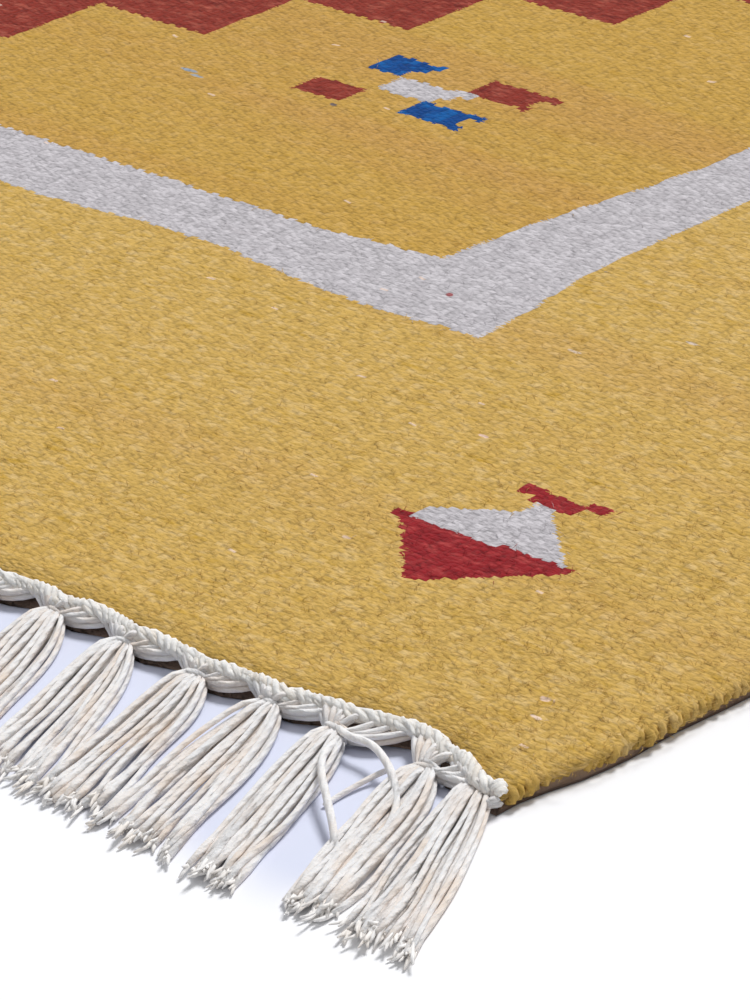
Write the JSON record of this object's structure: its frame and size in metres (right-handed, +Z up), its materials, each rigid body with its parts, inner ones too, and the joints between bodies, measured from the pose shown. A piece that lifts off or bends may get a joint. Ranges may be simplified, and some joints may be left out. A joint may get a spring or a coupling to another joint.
{
  "type": "kilim rug",
  "caption": "Flat-woven wool kilim rug with a yellow ground, a pale inner band, small figures, and a knotted cotton tassel fringe at both ends.",
  "frame": {"origin": "under the middle of the cloth, on the surface that the rug lies on", "axes": "+X across the rug, +Y along the rug from the near fringe to the far fringe, +Z up"},
  "size_m": [0.9358, 1.612, 0.0045],
  "materials": {
    "wool_flatweave": "matt hand-woven wool, weft-faced, yellow with red, blue and grey-white figures",
    "cotton_fringe": "matt plied cotton, off-white"
  },
  "bodies": {
    "root": {"rug_cloth": "wool_flatweave", "fringe_near": "cotton_fringe", "fringe_far": "cotton_fringe"}
  },
  "joints": []
}
